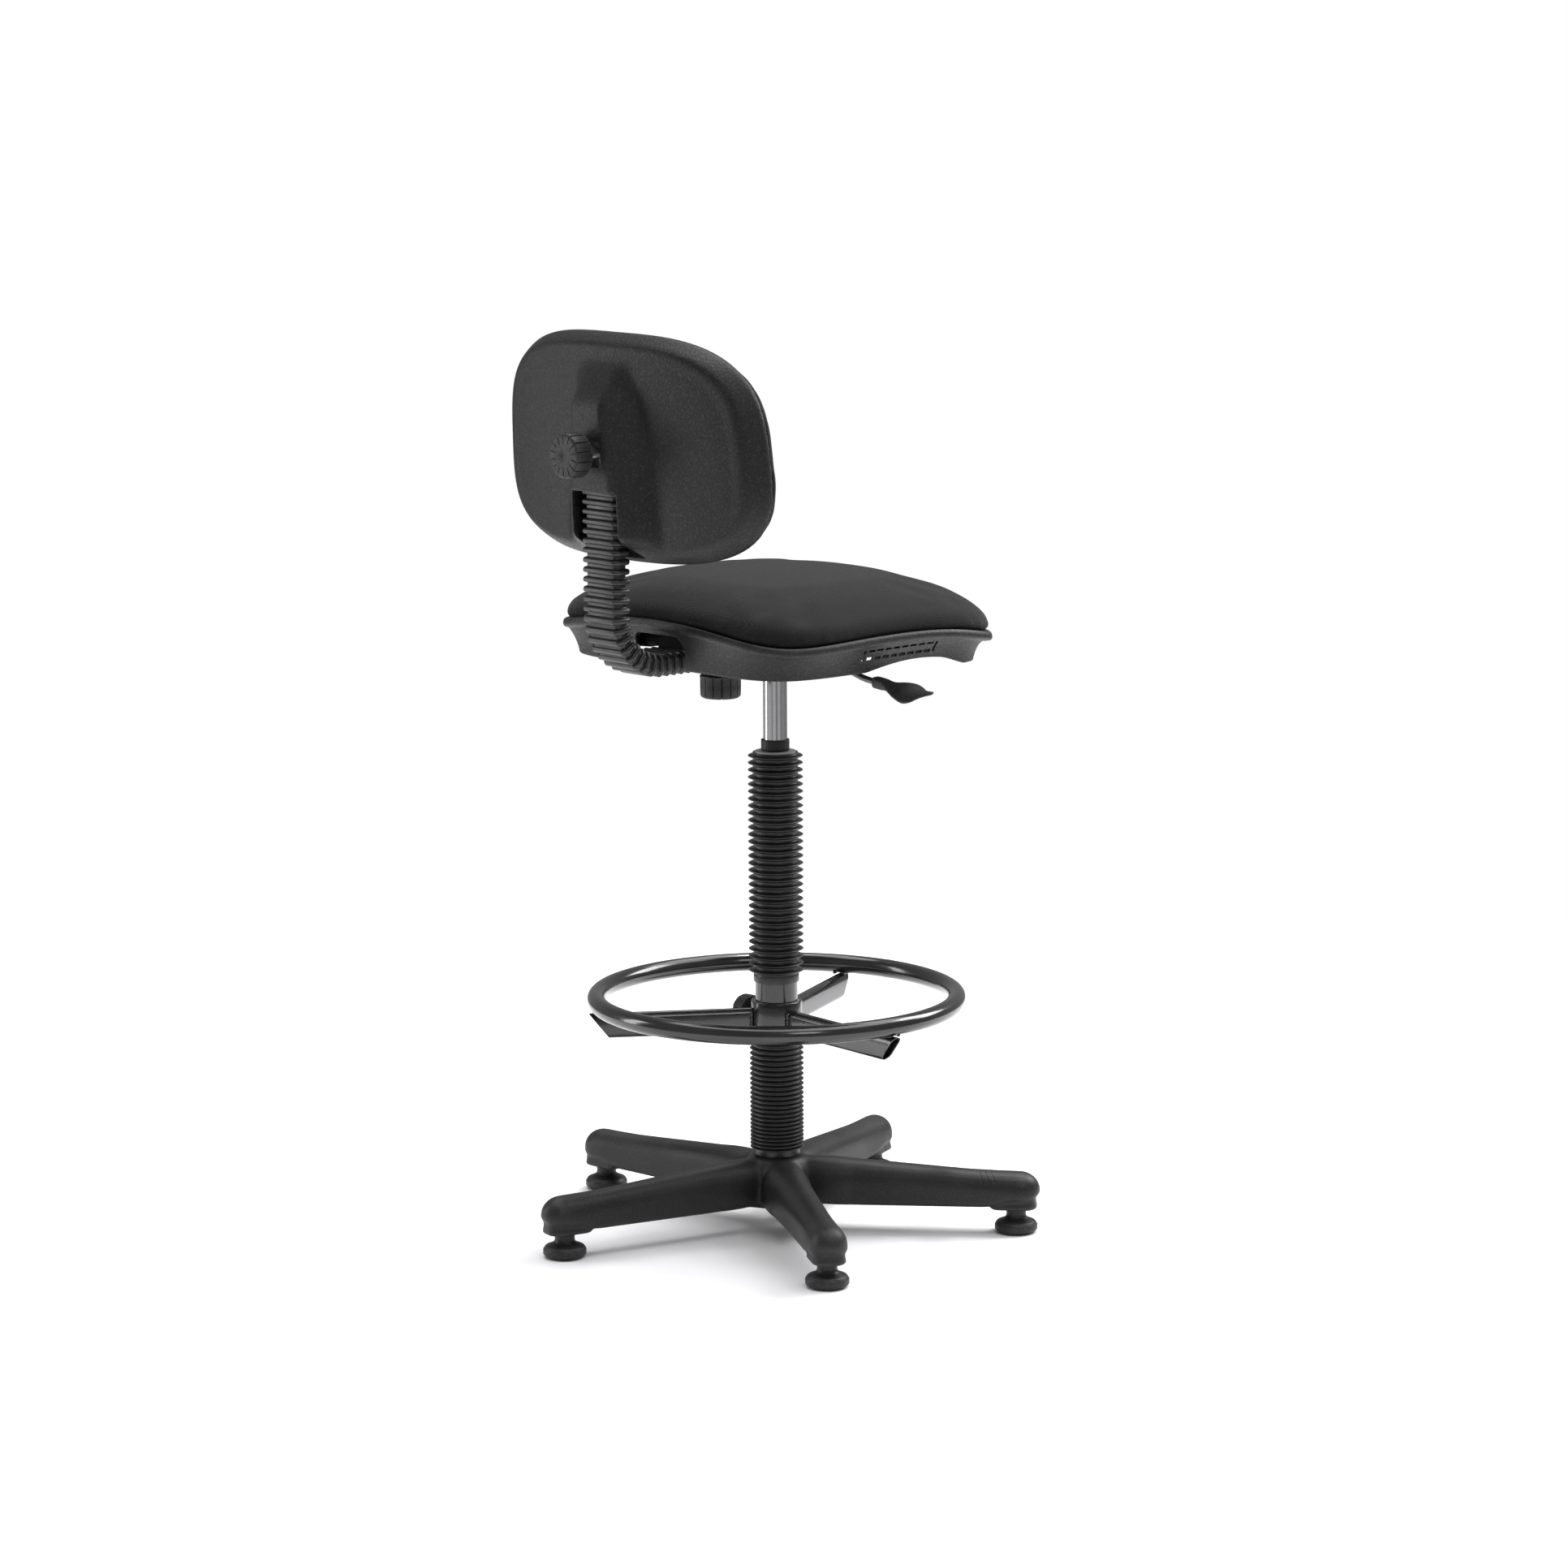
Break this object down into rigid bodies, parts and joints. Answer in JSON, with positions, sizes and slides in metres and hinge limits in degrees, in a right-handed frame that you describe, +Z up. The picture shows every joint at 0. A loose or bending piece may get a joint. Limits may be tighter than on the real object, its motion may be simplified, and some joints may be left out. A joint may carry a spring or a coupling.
{
  "type": "drafting chair",
  "caption": "Tall swivel work chair with gas lift, foot ring, padded seat, sliding backrest on a booted steel bar, and a star base on glides.",
  "frame": {"origin": "middle of the footprint on the floor, under the glides", "axes": "+Z up, the sitter faces -Y, so +X is the sitter's left"},
  "size_m": [0.5792, 0.6092, 1.0707],
  "materials": {
    "moulded_plastic": "fine-grained black nylon and polypropylene",
    "rubber_sleeve": "satin black ribbed rubber",
    "black_paint": "gloss black powder coat on steel",
    "chrome": "brushed bright chrome",
    "plain_steel": "zinc-plated steel",
    "fabric": "black twill upholstery over moulded foam",
    "plywood": "plain birch plywood",
    "plain_plastic": "natural grey acetal"
  },
  "bodies": {
    "base": {"star_base": "moulded_plastic", "glide_1": "moulded_plastic", "glide_2": "moulded_plastic", "glide_3": "moulded_plastic", "glide_4": "moulded_plastic", "glide_5": "moulded_plastic", "column_tube": "black_paint", "guide_bush": "plain_plastic", "column_floor": "plain_steel", "bearing_lower_race": "plain_steel", "bearing_cage": "plain_plastic", "upper_sleeve": "rubber_sleeve", "lower_sleeve": "rubber_sleeve"},
    "swivel_rod": {"piston_rod": "chrome", "piston": "plain_plastic", "bearing_upper_race": "plain_steel", "rod_clip": "plain_steel"},
    "seat": {"gas_cylinder": "chrome", "cylinder_gland": "rubber_sleeve", "seat_shell": "moulded_plastic", "seat_board": "plywood", "seat_cushion": "fabric", "mechanism_housing": "black_paint", "cone_socket": "black_paint", "lever_bracket": "plain_steel", "lever_pin": "plain_steel", "bar_guide": "black_paint", "seat_screw_1": "plain_steel", "seat_screw_2": "plain_steel", "seat_screw_3": "plain_steel", "seat_screw_4": "plain_steel"},
    "release_valve": {"release_pin": "plain_steel"},
    "height_lever": {"lever_rod": "black_paint", "lever_handle": "moulded_plastic"},
    "depth_clamp": {"depth_knob": "moulded_plastic"},
    "back_support": {"back_bar": "black_paint", "bar_boot": "rubber_sleeve"},
    "backrest": {"back_shell": "moulded_plastic", "back_board": "plywood", "back_cushion": "fabric", "back_carriage": "plain_plastic", "carriage_plate": "plain_steel", "back_screw_1": "plain_steel", "back_screw_2": "plain_steel", "back_screw_3": "plain_steel", "back_screw_4": "plain_steel"},
    "back_clamp": {"back_knob": "moulded_plastic"},
    "ring": {"foot_ring": "black_paint", "ring_hub": "black_paint", "ring_bush": "plain_plastic", "ring_spoke_1": "black_paint", "ring_spoke_2": "black_paint", "ring_spoke_3": "black_paint"},
    "ring_clamp": {"ring_knob": "moulded_plastic"}
  },
  "joints": [
    {"name": "seat_swivel", "type": "hinge", "parent": "base", "child": "swivel_rod", "pos_m": [-0.018, -0.016, 0.06], "axis": [0, 0, 1], "continuous": true},
    {"name": "seat_lift", "type": "slide", "parent": "swivel_rod", "child": "seat", "axis": [0, 0, 1], "range_m": [-0.04, 0.165]},
    {"name": "lever_lift", "type": "hinge", "parent": "seat", "child": "height_lever", "pos_m": [-0.054, -0.016, 0.6915], "axis": [0, 1, 0], "range_deg": [0, 4.5], "stiffness_Nm_per_rad": 1, "springref_deg": -4.58},
    {"name": "valve_travel", "type": "slide", "parent": "seat", "child": "release_valve", "axis": [0, 0, -1], "range_m": [0, 0.0035]},
    {"name": "depth_knob_turn", "type": "hinge", "parent": "seat", "child": "depth_clamp", "pos_m": [-0.018, 0.0695, 0.655], "axis": [0, 0, -1], "range_deg": [0, 540]},
    {"name": "back_depth", "type": "slide", "parent": "seat", "child": "back_support", "axis": [0, 1, 0], "range_m": [-0.015, 0.025]},
    {"name": "back_height", "type": "slide", "parent": "back_support", "child": "backrest", "axis": [0, 0, 1], "range_m": [-0.035, 0.035], "deforming": ["bar_boot"]},
    {"name": "back_knob_turn", "type": "hinge", "parent": "backrest", "child": "back_clamp", "pos_m": [-0.018, 0.294, 0.9375], "axis": [0, 1, 0], "range_deg": [0, 540]},
    {"name": "ring_height", "type": "slide", "parent": "base", "child": "ring", "axis": [0, 0, 1], "range_m": [-0.06, 0.02], "deforming": ["lower_sleeve"]},
    {"name": "ring_knob_turn", "type": "hinge", "parent": "ring", "child": "ring_clamp", "pos_m": [0.03583, -0.02024, 0.252], "axis": [0.9969, -0.0785, 0], "range_deg": [0, 540]}
  ],
  "couplings": [
    {"joint": "valve_travel", "follows": "lever_lift", "m_per_rad": 0.04}
  ]
}
